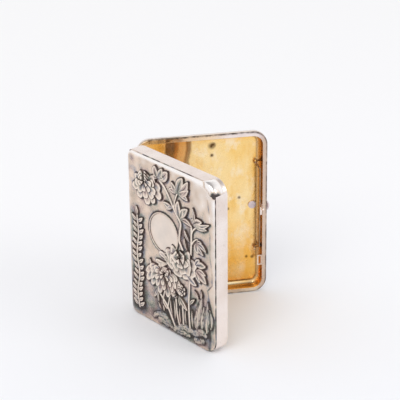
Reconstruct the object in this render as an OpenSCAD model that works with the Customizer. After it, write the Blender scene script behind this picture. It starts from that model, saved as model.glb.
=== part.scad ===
// Hinged pocket case for cigarettes: two silver tray halves with gilded linings, joined by a
// five-knuckle hinge along one long edge. The case stands on a short edge with its lid ajar.
//
// Each half is built in its own frame: u runs from the hinge edge to the opening edge, v runs up,
// and depth c grows from the rim towards the outside of that half. u = 0, c = 0 is the hinge axis.

/* [Case] */
// Width from the hinge edge to the opening edge
case_w = 85; // [76:1:100]
// Height, along the hinge
case_h = 115; // [112:1:130]
// Radius of the four corners, seen from the front
corner_r = 9.5; // [9:0.1:11]
// Angle between the two halves at rest
open_angle = 59; // [20:1:150]
// Gap between the two rims when the case is shut
rim_gap = 0.2; // [0.1:0.05:0.4]

/* [Walls] */
// Thickness of the silver walls
wall_t = 0.8; // [0.6:0.05:1]
// Thickness of the lips that turn in from the rims
lip_t = 0.8; // [0.6:0.05:1]
// Width of the lips, from the outside of the case
lip_w = 3; // [2.8:0.1:3.4]
// Rounding of the outer edge of each rim
rim_r = 0.6; // [0.3:0.05:0.7]

/* [Base half] */
// Depth of the base half behind its rim
base_depth = 10; // [9.8:0.1:12]
// Radius between the base's side walls and its back
back_r = 8; // [7.8:0.1:8.2]

/* [Lid half] */
// Depth of the lid's side walls behind its rim
lid_depth = 9.6; // [9.5:0.1:11]
// Radius between the lid's spine and its face
spine_r = 8; // [7.8:0.1:8.4]
// Width of the flange that carries the face sheet
seat_w = 3.4; // [2:0.1:5]
// Thickness of the face sheet
panel_t = 0.9; // [0.6:0.1:1.2]
// How far the face sheet stands in from the side walls
panel_inset = 0.4; // [0.2:0.05:0.8]
// Rounding of the face sheet's outer edge
panel_edge_r = 0.7; // [0.3:0.1:0.8]
// Angle through which the face sheet is rolled over the spine
roll_angle = 58; // [40:1:60]

/* [Linings] */
// Depth of each gilded tray below its rim
liner_depth = 7.4; // [6.5:0.1:7.4]
// Thickness of the gilded trays
liner_t = 0.5; // [0.4:0.05:0.6]
// Radius between a tray's floor and its walls
liner_r = 3; // [2.8:0.1:3.4]
// How far a lip overhangs the tray wall behind it
lip_overhang = 0.2; // [0.1:0.05:0.4]

/* [Hinge] */
// Outer radius of the hinge knuckles
knuckle_r = 1.25; // [1.1:0.05:1.3]
// Radius of the hinge pin
pin_r = 0.55; // [0.4:0.05:0.6]
// Radial clearance of the pin in the knuckles
pin_play = 0.05; // [0.02:0.01:0.1]
// Radial clearance between a knuckle and the other half's trough
trough_play = 0.1; // [0.08:0.01:0.15]
// Thickness of the trough that carries the knuckles
trough_t = 0.7; // [0.5:0.05:0.7]
// Distance from the end of the hinge to the case's end
hinge_end = 11; // [11:0.5:16]
// Gap between neighbouring knuckles
knuckle_gap = 0.15; // [0.1:0.05:0.3]

/* [Button] */
// Height of the button's axis above the foot
button_v = 60.8; // [50:0.1:70]
// Depth of the button's axis behind the base's rim
button_c = 4.4; // [4.2:0.1:4.5]
// Radius of the button's dome
dome_r = 3.3; // [2.6:0.1:3.6]
// Height of the button's dome
dome_h = 1.6; // [1:0.1:2]
// Travel of the button
button_travel = 0.7; // [0.5:0.05:0.8]
// Radius of the button's shank
shank_r = 1.2; // [1:0.05:1.3]
// Radial clearance of the shank in its bush
shank_play = 0.05; // [0.02:0.01:0.1]
// Wall thickness of the bush
bush_t = 0.75; // [0.5:0.05:0.8]

/* [Catch] */
// Diameter of the catch bar's wire
wire_d = 1.2; // [1:0.05:1.3]
// Height of the bar's lower end
bar_low = 33; // [30:0.5:36]
// Height of the bar's upper end
bar_high = 88.8; // [84:0.2:92]
// Distance from the opening edge to the bar's axis
bar_inset = 4.7; // [4.6:0.05:5]
// Distance from the opening edge to the pivots' axis
pivot_inset = 6.6; // [6.5:0.1:7.4]
// Height of the pivots' axis above the tray floor
pivot_rise = 1.3; // [1.3:0.05:1.6]
// How far each leg spreads beyond the end of the bar
leg_spread = 2.5; // [1:0.1:4]
// Radius of the catch's ball nose
nose_r = 0.95; // [0.8:0.05:1]
// How far the nose hooks behind the lid's lip
hook = 0.65; // [0.4:0.05:0.8]

/* [Relief] */
// Radius of the plain round cartouche
cartouche_r = 13; // [11:0.5:14]
// Height of the cartouche's rim above the face
cartouche_h = 0.5; // [0.3:0.1:0.8]
// Height of the flower centres above the face
bloom_h = 1.3; // [0.8:0.1:1.6]
// Height of the leaves above the face
leaf_h = 0.8; // [0.4:0.1:1.2]
// Height of the stems and rocks above the face
stem_h = 0.6; // [0.4:0.1:1]

/* [Hidden] */
$fn = 64;
petal_steps = 6;
far = 300;
rim_c = rim_gap / 2;
silver = [0.86, 0.84, 0.86];
warm_silver = [0.78, 0.72, 0.69];
gilt = [0.93, 0.76, 0.45];

// Depths, all measured from the hinge's mid-plane
lip_c = rim_c + lip_t;
split_c = rim_c + base_depth - back_r;
back_c = rim_c + base_depth;
lid_wall_c = rim_c + lid_depth;
face_c = lid_wall_c + panel_t;
floor_c = rim_c + liner_depth;
spine_c = lid_wall_c - spine_r;
foot_c = (rim_c + rim_r + split_c) / 2;
liner_in = lip_w - lip_overhang;
liner_out = liner_in - liner_t;

// Hinge
trough_r = knuckle_r + trough_play;
knuckle_count = 5;
hinge_len = case_h - 2 * hinge_end;
knuckle_len = (hinge_len - (knuckle_count - 1) * knuckle_gap) / knuckle_count;
pin_head_r = pin_r + 0.35;
pin_head_t = 0.3;
trough_end_gap = pin_head_t + 0.2;

// Button
axis_c = rim_c + button_c;
bush_r = shank_r + shank_play + bush_t;
bush_out = 0.1;
dome_gap = 0.05;
dome_base = case_w + bush_out + button_travel + dome_gap;
shank_end = case_w - liner_out + button_travel + dome_gap;
tenon_r = 0.65;
tenon_play = 0.2;
plate_t = 0.5;
plate_gap = 0.1;
plate_w = 4.8;
plate_outer = case_w - liner_in - plate_gap;
plate_top_c = lip_c + plate_gap;

// Catch
wire_r = wire_d / 2;
bar_u = case_w - bar_inset;
bar_c = rim_c + 0.9;
pivot_u = case_w - pivot_inset;
pivot_c = floor_c - pivot_rise;
pivot_r = 0.5;
eye_r = pivot_r + pin_play + 0.65;
eye_gap = 0.12;
lug_t = 1;
lug_half_w = 0.8;
lug_foot_t = 0.4;
lug_foot_len = 2.4;
pivot_head_t = 0.4;
tooth_face = plate_outer - plate_t - dome_gap;
tooth_len = 5.6;
tooth_low = button_v - 4.4;
tooth_top_c = rim_c - 0.6;
tooth_deep_c = bar_c + 0.7;
nose_v = button_v + 0.2;
nose_u = case_w - lip_w + hook - nose_r;
nose_c = -(lip_c + nose_r + 0.1);
nose_stem_r = 0.45;
stop_r = 2.6;
stop_h = 0.8;
stop_u = case_w - liner_in - liner_r - stop_r;
window_play = 0.5;

// Rim loop
loop_v = 19.5;
loop_len = 7.3;
loop_w = 3.3;
loop_bar = 0.9;
loop_t = 0.6;

// Relief, in u and v, laid out about the middle of the face
layout_centre = [42.5, 57.5];
cartouche = [37.8, 67.7];
cartouche_rim_w = 0.9;
middle_flower_gap = 10.8;
bud_gap = 4.1;
upper_flower = [23, 94];
middle_flower = off_cartouche([19.2, -15.5], middle_flower_gap);
bud = off_cartouche([5.2, -17.2], bud_gap);
lower_flower = [38, 34.5];
small_flower = [54, 35];
rock_ridge = [
    [25.5, 4.2], [30, 9.6], [36.5, 11.2], [41.3, 8.9], [45.2, 4.4], [50.2, 7], [56, 10.5], [61, 9.7],
    [65.8, 10.4], [72.3, 13.8], [76.6, 13.2], [77.4, 8.5], [72.5, 3], [65.2, 3.6], [62.6, 6.8],
    [56.2, 7.7], [50.6, 4.1], [45, 2], [43.6, 2.6], [39.8, 6.4], [36.2, 8], [31.2, 7], [27.4, 3.6]
];
rock_peak = [
    [66, 15], [67.5, 26], [71, 34], [73.5, 38.5], [75.5, 32], [78, 38], [80.5, 34], [82, 26],
    [83, 19], [79.5, 14.5], [76, 10.5], [69, 11.5]
];

// Place at a gap from the cartouche's rim, in a direction from its centre
function off_cartouche(way, gap) =
    cartouche + way / norm(way) * (cartouche_r + cartouche_rim_w + gap);

// Places the base half in the part's frame
module place_base() {
    translate([-case_w / 2, -foot_c, 0]) mirror([0, 1, 0]) rotate([90, 0, 0]) children();
}

// Places the lid half, turned open about the hinge axis
module place_lid() {
    translate([-case_w / 2, -foot_c, 0]) rotate([0, 0, -open_angle]) rotate([90, 0, 0]) children();
}

// Outline of the case seen from the front, drawn in by inset
module outline(inset) {
    r = corner_r - inset;
    translate([inset, corner_r]) square([case_w - 2 * inset, case_h - 2 * corner_r]);
    translate([corner_r, inset]) square([case_w - 2 * corner_r, case_h - 2 * inset]);
    for (u = [corner_r, case_w - corner_r])
        for (v = [corner_r, case_h - corner_r])
            translate([u, v]) circle(r);
}

// Half section of a rounded slab's corner
module corner_section(r, h, edge_r) {
    intersection() {
        square([r, h]);
        union() {
            square([r - edge_r, h]);
            square([r, h - edge_r]);
            translate([r - edge_r, h - edge_r]) circle(edge_r);
        }
    }
}

// Section across a rounded slab
module slab_section(len, h, edge_r) {
    square([len, h - edge_r]);
    translate([edge_r, 0]) square([len - 2 * edge_r, h]);
    for (x = [edge_r, len - edge_r])
        translate([x, h - edge_r]) intersection() {
            circle(edge_r);
            translate([-edge_r, 0]) square([2 * edge_r, edge_r]);
        }
}

// Slab with the case's outline and one rounded edge, from depth 0 to h
module slab(inset, h, edge_r) {
    for (u = [corner_r, case_w - corner_r])
        for (v = [corner_r, case_h - corner_r])
            translate([u, v, 0]) rotate_extrude() corner_section(corner_r - inset, h, edge_r);
    translate([inset, case_h - corner_r, 0]) rotate([90, 0, 0])
        linear_extrude(case_h - 2 * corner_r) slab_section(case_w - 2 * inset, h, edge_r);
    translate([corner_r, inset, 0]) rotate([90, 0, 90])
        linear_extrude(case_w - 2 * corner_r) slab_section(case_h - 2 * inset, h, edge_r);
}

// Plain prism of the outline between two depths
module prism(inset, from, to) {
    translate([0, 0, from]) linear_extrude(to - from) outline(inset);
}

// A half's outside between its rim and a depth, with the rim's outer edge rounded
module rim_body(depth) {
    translate([0, 0, rim_c + depth]) mirror([0, 0, 1]) slab(0, depth, rim_r);
}

// Carries a section drawn in u and c along v
module along_v(from, len) {
    translate([0, from + len, 0]) rotate([90, 0, 0]) linear_extrude(len) children();
}

// Section of the lid between the rim and its face, round at the spine
module lid_section(inset, depth_c) {
    r = spine_r - inset;
    translate([spine_r, -far / 2]) square([far, far / 2 + depth_c]);
    translate([inset, -far / 2]) square([far, far / 2 + spine_c]);
    translate([spine_r, spine_c]) circle(r);
}

// Trough that carries the knuckles, for the quadrant of one half
module trough() {
    intersection() {
        translate([0, hinge_end - trough_end_gap, 0]) rotate([-90, 0, 0])
            cylinder(r = trough_r + trough_t, h = hinge_len + 2 * trough_end_gap);
        translate([0, 0, rim_c]) cube([far, far, far]);
    }
}

module trough_bore() {
    translate([0, hinge_end - trough_end_gap, 0]) rotate([-90, 0, 0])
        cylinder(r = trough_r, h = hinge_len + 2 * trough_end_gap);
}

// Gilded tray with its open side at the lip
module tray() {
    difference() {
        slab(liner_out, floor_c + liner_t, liner_r + liner_t);
        slab(liner_in, floor_c, liner_r);
        translate([0, 0, -1]) cube([far, far, 2 * (lip_c + 1)], center = true);
    }
}

// Knuckle number i along the hinge, with the web that fills its own half's trough
module knuckle(i) {
    start = hinge_end + i * (knuckle_len + knuckle_gap);
    difference() {
        translate([0, start, 0]) rotate([-90, 0, 0]) union() {
            cylinder(r = knuckle_r, h = knuckle_len);
            intersection() {
                cylinder(r = trough_r, h = knuckle_len);
                mirror([0, 1, 0]) cube([trough_r, trough_r, knuckle_len]);
            }
        }
        translate([0, start - 1, 0]) rotate([-90, 0, 0])
            cylinder(r = pin_r + pin_play, h = knuckle_len + 2);
    }
}

module base_frame() {
    color(silver) place_base() difference() {
        union() {
            difference() {
                rim_body(split_c - rim_c);
                prism(wall_t, lip_c, split_c + 1);
                prism(lip_w, -1, lip_c + 1);
            }
            trough();
        }
        trough_bore();
    }
}

module base_back() {
    color(silver) place_base() difference() {
        slab(0, back_c, back_r);
        slab(wall_t, back_c - wall_t, back_r - wall_t);
        translate([0, 0, -far + split_c]) cube([far, far, far]);
        along_u(case_w - back_r, back_r + 1) circle(bush_r);
    }
}

module base_liner() {
    color(gilt) place_base() difference() {
        tray();
        along_u(case_w - lip_w - 1, lip_w + 1) circle(tenon_r + tenon_play);
    }
}

module base_knuckle(i) {
    color(silver) place_base() knuckle(i);
}

module hinge_pin() {
    color(silver) place_base() translate([0, hinge_end, 0]) rotate([-90, 0, 0]) {
        cylinder(r = pin_r, h = hinge_len);
        translate([0, 0, -pin_head_t]) cylinder(r = pin_head_r, h = pin_head_t);
        translate([0, 0, hinge_len]) cylinder(r = pin_head_r, h = pin_head_t);
    }
}

// Carries a section along u from one place to another, centred on the button's axis
module along_u(from, len) {
    translate([from, button_v, axis_c]) rotate([0, 90, 0]) linear_extrude(len) children();
}

module button_bush() {
    bush_start = case_w - liner_out;
    color(silver) place_base() difference() {
        along_u(bush_start, liner_out + bush_out) circle(bush_r);
        along_u(bush_start - 1, liner_out + bush_out + 2) circle(shank_r + shank_play);
        tray_wall();
    }
}

// Space that the tray's curved wall takes from the bush's inner end
module tray_wall() {
    slab(liner_out, floor_c + liner_t, liner_r + liner_t);
}

module push_button() {
    cap_r = (dome_r * dome_r + dome_h * dome_h) / (2 * dome_h);
    color(silver) place_base() {
        along_u(shank_end, dome_base - shank_end) circle(shank_r);
        along_u(plate_outer - plate_t, shank_end - plate_outer + plate_t) circle(tenon_r);
        translate([dome_base, button_v, axis_c]) rotate([0, 90, 0]) rotate_extrude()
            intersection() {
                translate([0, dome_h - cap_r]) circle(cap_r);
                square([dome_r, dome_h]);
            }
    }
}

module button_plate() {
    plate_low_c = axis_c + tenon_r + 0.05;
    color(silver) place_base() difference() {
        translate([plate_outer - plate_t, button_v - plate_w / 2, plate_top_c])
            cube([plate_t, plate_w, plate_low_c - plate_top_c]);
        along_u(plate_outer - plate_t - 1, plate_t + 2) circle(tenon_r);
    }
}

// Wire from one point to another, with round ends
module wire(a, b) {
    d = b - a;
    len = norm(d);
    translate(a) sphere(r = wire_r);
    translate(b) sphere(r = wire_r);
    translate(a) rotate([0, acos(d[2] / len), atan2(d[1], d[0])]) cylinder(r = wire_r, h = len);
}

module catch_bar() {
    low = [bar_u, bar_low, bar_c];
    high = [bar_u, bar_high, bar_c];
    color(silver) place_base() difference() {
        union() {
            wire(low, high);
            wire(low, [pivot_u, bar_low - leg_spread, pivot_c]);
            wire(high, [pivot_u, bar_high + leg_spread, pivot_c]);
            for (v = [bar_low - leg_spread, bar_high + leg_spread])
                translate([pivot_u, v - wire_r, pivot_c]) rotate([-90, 0, 0])
                    cylinder(r = eye_r, h = wire_d);
        }
        for (v = [bar_low - leg_spread, bar_high + leg_spread])
            translate([pivot_u, v - wire_d, pivot_c]) rotate([-90, 0, 0])
                cylinder(r = pivot_r + pin_play, h = 2 * wire_d);
    }
}

module catch_tooth() {
    color(silver) place_base() difference() {
        union() {
            translate([bar_u, tooth_low, tooth_top_c])
                cube([tooth_face - bar_u, tooth_len, tooth_deep_c - tooth_top_c]);
            translate([tooth_face - nose_stem_r, nose_v, nose_c])
                cylinder(r = nose_stem_r, h = tooth_deep_c - nose_c);
            translate([nose_u, nose_v, nose_c]) sphere(r = nose_r);
        }
        translate([bar_u, tooth_low - 1, bar_c]) rotate([-90, 0, 0])
            cylinder(r = wire_r, h = tooth_len + 2);
    }
}

// Lug for one end of the bar; side is +1 above the eye and -1 below it
module catch_lug(eye_v, side) {
    near = wire_r + eye_gap;
    color(gilt) place_base() translate([pivot_u, eye_v, 0]) mirror([0, side < 0 ? 1 : 0, 0])
        difference() {
            union() {
                translate([-lug_half_w, near, pivot_c])
                    cube([2 * lug_half_w, lug_t, pivot_rise]);
                translate([0, near, pivot_c]) rotate([-90, 0, 0])
                    cylinder(r = lug_half_w, h = lug_t);
                translate([-lug_half_w, near, floor_c - lug_foot_t])
                    cube([2 * lug_half_w, lug_foot_len, lug_foot_t]);
            }
            translate([0, near - 1, pivot_c]) rotate([-90, 0, 0])
                cylinder(r = pivot_r, h = lug_t + 2);
        }
}

module catch_lug_upper() {
    catch_lug(bar_high + leg_spread, 1);
}

module catch_lug_lower() {
    catch_lug(bar_low - leg_spread, -1);
}

// Headed pivot pins through the two lugs and the bar's eyes
module catch_pivots() {
    pin_len = wire_d + 2 * eye_gap + lug_t;
    color(silver) place_base()
        for (end = [[bar_high + leg_spread, 0], [bar_low - leg_spread, 1]])
            translate([pivot_u, end[0], pivot_c]) mirror([0, end[1], 0])
                translate([0, -wire_r - eye_gap, 0]) rotate([-90, 0, 0]) {
                    cylinder(r = pivot_r, h = pin_len);
                    translate([0, 0, pin_len]) cylinder(r = lug_half_w, h = pivot_head_t);
                }
}

module catch_stop() {
    color(silver) place_base() translate([stop_u, button_v, floor_c - stop_h])
        cylinder(r = stop_r, h = stop_h);
}

module rim_loop() {
    loop_c = rim_c + (lip_t - loop_t) / 2;
    color(silver) place_base() translate([case_w - lip_w - loop_w, loop_v, loop_c])
        difference() {
            cube([loop_w, loop_len, loop_t]);
            translate([loop_bar, loop_bar, -1])
                cube([loop_w - 2 * loop_bar, loop_len - 2 * loop_bar, loop_t + 2]);
        }
}

module lid_frame() {
    color(silver) place_lid() difference() {
        union() {
            difference() {
                intersection() {
                    rim_body(lid_depth);
                    along_v(0, case_h) lid_section(0, lid_wall_c);
                }
                intersection() {
                    prism(wall_t, lip_c, lid_wall_c - wall_t);
                    along_v(0, case_h) lid_section(wall_t, lid_wall_c - wall_t);
                }
                prism(lip_w, -1, lip_c + 1);
                prism(wall_t + seat_w, lid_wall_c - wall_t - 1, lid_wall_c + 1);
            }
            trough();
        }
        trough_bore();
    }
}

module lid_panel() {
    reach = 2 * spine_r;
    cut_u = spine_r - reach * sin(roll_angle);
    cut_c = spine_c + reach * cos(roll_angle);
    color(warm_silver) place_lid() difference() {
        intersection() {
            slab(panel_inset, face_c, panel_edge_r);
            along_v(0, case_h) lid_section(-panel_t, face_c);
        }
        along_v(-1, case_h + 2) lid_section(0, lid_wall_c);
        along_v(-1, case_h + 2)
            polygon([[spine_r, spine_c], [cut_u, cut_c], [-reach, -1], [spine_r, -1]]);
    }
}

module lid_liner() {
    window_v = nose_v - nose_r - window_play;
    color(gilt) place_lid() difference() {
        tray();
        translate([case_w - lip_w, window_v, lip_c - 1])
            cube([lip_w - wall_t, 2 * (nose_r + window_play), 2 * nose_r + window_play + 1]);
    }
}

module lid_knuckle(i) {
    color(silver) place_lid() knuckle(i);
}

// Lays flat work on the lid's face, raised by h
module applied(h) {
    shift = [case_w / 2, case_h / 2] - layout_centre;
    color(warm_silver) place_lid() translate([shift[0], shift[1], face_c]) linear_extrude(h) children();
}

// Pointed petal from the origin along +x
module petal(len, wid) {
    steps = [for (i = [1 : petal_steps - 1]) i / petal_steps];
    upper = [for (t = steps) [len * t, wid / 2 * sin(180 * t)]];
    lower = [for (t = steps) [len * (1 - t), -wid / 2 * sin(180 * t)]];
    polygon(concat([[0, 0]], upper, [[len, 0]], lower));
}

// Ring of petals that reaches an ellipse of half width w and half height h
module petal_ring(count, turn, w, h, wid) {
    for (i = [0 : count - 1]) {
        a = turn + i * 360 / count;
        reach = w * h / norm([h * cos(a), w * sin(a)]);
        rotate(a) petal(reach, wid);
    }
}

// Outline of a flower with its centre at a point
module bloom(at, w, h, count, wid, turn) {
    translate(at) petal_ring(count, turn, w, h, wid);
}

// Flower of two tiers of petals and a button, each higher and smaller than the one outside it
module flower(at, w, h, count, wid, turn) {
    applied(bloom_h * 0.5) bloom(at, w, h, count, wid, turn);
    applied(bloom_h * 0.75) bloom(at, w * 0.68, h * 0.68, count - 2, wid * 0.85, turn + 11);
    applied(bloom_h) translate(at) circle(min(w, h) * 0.3);
}

// Stroke of even width through a list of points
module stroke(points, wid) {
    for (p = points) translate(p) circle(d = wid);
    for (i = [1 : len(points) - 1]) {
        d = points[i] - points[i - 1];
        translate(points[i - 1]) rotate(atan2(d[1], d[0]))
            translate([0, -wid / 2]) square([norm(d), wid]);
    }
}

// Leaf with a middle lobe and two lobes on each side of it
module lobed_leaf(at, turn, size) {
    translate(at) rotate(turn) {
        petal(size, size * 0.5);
        for (side = [-1, 1]) {
            rotate(side * 38) petal(size * 0.85, size * 0.42);
            rotate(side * 78) petal(size * 0.55, size * 0.34);
        }
    }
}

module leaf(at, turn, len, wid) {
    translate(at) rotate(turn) petal(len, wid);
}

module upper_bloom_area() {
    bloom(upper_flower, 13, 10, 12, 5.2, 7);
}

module middle_bloom_area() {
    bloom(middle_flower, 11.5, 8.8, 12, 5, 10);
    bud_area();
}

// Half-open bud on the left of the middle flower
module bud_area() {
    for (a = [-8, 11, 30]) leaf(bud, 180 + a, 10.5, 4.4);
}

module lower_bloom_area() {
    bloom(lower_flower, 17, 9.4, 15, 4.4, 4);
    bloom(small_flower, 4.6, 4, 8, 2.6, 0);
}

module upper_leaves_area() {
    lobed_leaf([37, 101], 118, 12);
    lobed_leaf([50, 99.5], 58, 14);
    leaf([47.6, 86], 156, 11, 5);
    leaf([51.5, 82.5], 74, 12.5, 5.6);
    leaf([57.5, 84], 62, 9, 5);
}

module side_leaves_area() {
    lobed_leaf([63, 82], 30, 15);
    leaf([63, 82], 84, 11, 5);
    leaf([56.5, 63.5], 76, 15, 5.4);
    leaf([66, 71.5], -24, 12, 5.6);
}

module lower_leaves_area() {
    leaf([67, 55], 16, 11.5, 6);
    leaf([67, 52], -20, 12.5, 7);
    leaf([61, 45.5], -30, 9, 5);
    leaf([56, 29.5], 205, 13, 4.4);
    leaf([58, 27.5], 250, 10, 3.6);
}

module stems_area() {
    stroke([[38, 102], [45, 91], [50, 83], [53, 76], [53, 62]], 1.4);
    stroke([[51, 99], [48, 91], [48, 86]], 1.2);
    stroke([[53, 80], [58, 84]], 1.2);
    stroke([[62.5, 82], [62.5, 61]], 1.4);
    stroke([[62.5, 69], [67, 71.5]], 1.2);
    stroke([[61, 43.5], [61.5, 31], [61, 10.6]], 1.4);
    stroke([[50, 27], [51, 17], [50.5, 7.9]], 1.3);
    stroke([[39, 26], [43, 18], [47.2, 6.4]], 1.3);
}

module reeds_area() {
    for (reed = [[40.6, 10.5, 100, 12], [47.7, 9.5, 90, 14], [54.2, 9, 90, 15], [58, 11, 92, 13]])
        leaf([reed[0], reed[1]], reed[2], reed[3], 1.9);
}

module rocks_area() {
    polygon(rock_ridge);
    polygon(rock_peak);
}

module sprig_area() {
    stroke([[14, 7], [12.5, 18], [15.5, 31], [13, 45], [15.5, 59], [14, 71]], 1);
    for (i = [0 : 9]) {
        side = i % 2 == 0 ? 1 : -1;
        leaf([14, 11 + i * 6.4], 90 - side * 48, 6.4, 2.8);
    }
    leaf([14, 71], 90, 7, 3);
}

// Everything that lies over the leaves and stems
module blooms_area() {
    upper_bloom_area();
    middle_bloom_area();
    lower_bloom_area();
    translate(cartouche) circle(cartouche_r + cartouche_rim_w);
}

module leaves_area() {
    upper_leaves_area();
    side_leaves_area();
    lower_leaves_area();
}

module cartouche_rim() {
    applied(cartouche_h) translate(cartouche) difference() {
        circle(cartouche_r + cartouche_rim_w);
        circle(cartouche_r);
    }
}

module bloom_upper() {
    flower(upper_flower, 13, 10, 12, 5.2, 7);
}

module bloom_middle() {
    flower(middle_flower, 11.5, 8.8, 12, 5, 10);
    applied(leaf_h) bud_area();
}

module bloom_lower() {
    flower(lower_flower, 17, 9.4, 15, 4.4, 4);
    flower(small_flower, 4.6, 4, 8, 2.6, 0);
}

module leaves_upper() {
    applied(leaf_h) difference() {
        upper_leaves_area();
        blooms_area();
    }
}

module leaves_side() {
    applied(leaf_h) difference() {
        side_leaves_area();
        upper_leaves_area();
        blooms_area();
    }
}

module leaves_lower() {
    applied(leaf_h) difference() {
        lower_leaves_area();
        side_leaves_area();
        blooms_area();
    }
}

module stems() {
    applied(stem_h) difference() {
        stems_area();
        leaves_area();
        blooms_area();
    }
}

module reeds() {
    applied(stem_h * 0.8) difference() {
        reeds_area();
        stems_area();
        lower_leaves_area();
        rocks_area();
    }
}

module rocks() {
    applied(stem_h) rocks_area();
}

module side_sprig() {
    applied(stem_h) difference() {
        sprig_area();
        lower_bloom_area();
        upper_bloom_area();
    }
}

base_frame();
base_back();
base_liner();
base_knuckle(0);  // base_knuckle_1
base_knuckle(2);  // base_knuckle_2
base_knuckle(4);  // base_knuckle_3
hinge_pin();
button_bush();
catch_lug_upper();
catch_lug_lower();
catch_pivots();
catch_stop();
rim_loop();
push_button();
button_plate();
catch_bar();
catch_tooth();
lid_frame();
lid_panel();
lid_liner();
lid_knuckle(1);  // lid_knuckle_1
lid_knuckle(3);  // lid_knuckle_2
cartouche_rim();
bloom_upper();
bloom_middle();
bloom_lower();
leaves_upper();
leaves_side();
leaves_lower();
stems();
reeds();
rocks();
side_sprig();
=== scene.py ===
"""Looks for the open pocket case: silver halves, gilt linings and the chased flowers on the lid.

Relief is drawn in lid coordinates in millimetres: u from the hinge edge, v up, h above the face sheet.
"""
import math

import bpy
import numpy as np
from mathutils import Matrix, Vector, kdtree, noise

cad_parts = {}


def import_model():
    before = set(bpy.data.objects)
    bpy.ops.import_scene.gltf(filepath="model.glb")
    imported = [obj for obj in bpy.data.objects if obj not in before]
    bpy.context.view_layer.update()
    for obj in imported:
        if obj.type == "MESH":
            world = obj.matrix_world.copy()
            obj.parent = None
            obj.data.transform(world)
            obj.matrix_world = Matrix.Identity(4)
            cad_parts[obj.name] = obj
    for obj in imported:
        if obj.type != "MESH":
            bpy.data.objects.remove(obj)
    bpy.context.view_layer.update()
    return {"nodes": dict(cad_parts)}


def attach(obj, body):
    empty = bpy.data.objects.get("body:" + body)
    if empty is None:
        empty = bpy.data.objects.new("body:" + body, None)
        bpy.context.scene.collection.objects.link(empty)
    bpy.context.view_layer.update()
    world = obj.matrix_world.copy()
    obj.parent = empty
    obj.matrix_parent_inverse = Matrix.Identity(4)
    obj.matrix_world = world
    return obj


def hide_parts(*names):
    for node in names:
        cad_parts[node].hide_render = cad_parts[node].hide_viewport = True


MM = 0.001

# The case, as in the part, in millimetres. c runs across the lid, from the hinge's axis to its outside
CASE_W = 85
CASE_H = 115
CORNER_R = 9.5
OPEN_ANGLE = math.radians(59)
HINGE_X = -CASE_W / 2
HINGE_Y = -1.4
FACE_C = 10.6
TRAY_FLOOR_Y = 6.1
CARTOUCHE = (37.8, 67.7)
CARTOUCHE_R = 13
CARTOUCHE_RIM_W = 0.9

# The edge that rolls over the spine
SPINE_U = 8
SPINE_C = 1.7
SPINE_R = 8.9
ROLL_END = 0.2
ROLL_LIMIT = 0.9

# The face sheet's edge: the seam against the walls, then the rounded shoulder
SEAM_INSET = 0.04
SEAM_W = 0.5
SEAM_FLOOR = -0.87
SHOULDER_W = 0.75
SHOULDER_DROP = 0.7

# The swollen corner at the top of the opening side, its turn in degrees, and the painted shade of the
# hollow below it
SWELL = 0.8
SWELL_SINK = 0.1
SWELL_ROUND = 2.6
SWELL_LOW_C = 2.6
SWELL_INNER = 4.4
SWELL_TURN = (4, 98)
SWELL_ROWS = 37
SHADE_SPOT = (83.6, 108.4)
SHADE_SPOT_R = (1.7, 2.4)

# Camera, fitted to the photograph's edges
IMAGE_PX = 400
FOCAL_PX = 1500
SENSOR_MM = 36
CAMERA_AIM = Vector((-1.3, 1.9, 69.1)) * MM
CAMERA_AZIMUTH = math.radians(-10.7)
CAMERA_ELEVATION = math.radians(24.59)
CAMERA_ROLL = math.radians(-0.557)
CAMERA_DISTANCE = 970.7 * MM

# Studio, in metres
FLOOR_HALF = 6
LAMP_AIM = (0, 0, 0.05)


# Places and curves

def rise(value, start, end):
    """0 up to start and 1 from end on, straight between them; start may be the larger one"""
    return np.clip((value - start) / (end - start), 0, 1)


def bell(distance, width, power=2):
    """1 at no distance, fading to 0; a higher power gives a flatter top"""
    return np.exp(-(distance / width) ** power)


def roughly(values, size, seed=0):
    """Smooth noise from -1 to 1 at each (u, v) of a grid or path"""
    flat = values.reshape(-1, 2)
    out = [noise.noise(Vector((p[0] / size, p[1] / size, seed))) for p in flat]
    return np.array(out).reshape(values.shape[:-1])


def on_lid(u, v, h):
    """Lid coordinates in millimetres to the frame, following the sheet where it rolls over the spine"""
    u, v, h = np.broadcast_arrays(np.asarray(u, float), np.asarray(v, float), np.asarray(h, float))
    sin_roll = np.clip((SPINE_U - u) / SPINE_R, 0, ROLL_LIMIT)
    cos_roll = np.sqrt(1 - sin_roll ** 2)
    rolled = u < SPINE_U
    lid_u = np.where(rolled, SPINE_U - (SPINE_R + h) * sin_roll, u)
    lid_c = np.where(rolled, SPINE_C + (SPINE_R + h) * cos_roll, FACE_C + h)
    x = lid_u * math.cos(OPEN_ANGLE) - lid_c * math.sin(OPEN_ANGLE) + HINGE_X
    y = -lid_u * math.sin(OPEN_ANGLE) - lid_c * math.cos(OPEN_ANGLE) + HINGE_Y
    return np.stack([x, y, v], -1) * MM


def smooth_path(points, count):
    """Evenly stepped smooth curve through a few points"""
    points = np.array(points, float)
    ends = np.vstack([2 * points[0] - points[1], points, 2 * points[-1] - points[-2]])
    step = np.linspace(0, len(points) - 1, count)
    i = np.minimum(step.astype(int), len(points) - 2)
    f = (step - i)[:, None]
    p0, p1, p2, p3 = ends[i], ends[i + 1], ends[i + 2], ends[i + 3]
    bend = (-p0 + p2) * f + (2 * p0 - 5 * p1 + 4 * p2 - p3) * f ** 2 + (-p0 + 3 * p1 - 3 * p2 + p3) * f ** 3
    return p1 + bend / 2


def beside(path, offset):
    """Places to the left of a path, in rows x columns x 2; offset says how far"""
    along = np.gradient(path, axis=0)
    along /= np.linalg.norm(along, axis=1)[:, None] + 1e-9
    left = np.stack([-along[:, 1], along[:, 0]], -1)
    return path[:, None, :] + left[:, None, :] * offset[..., None]


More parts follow.
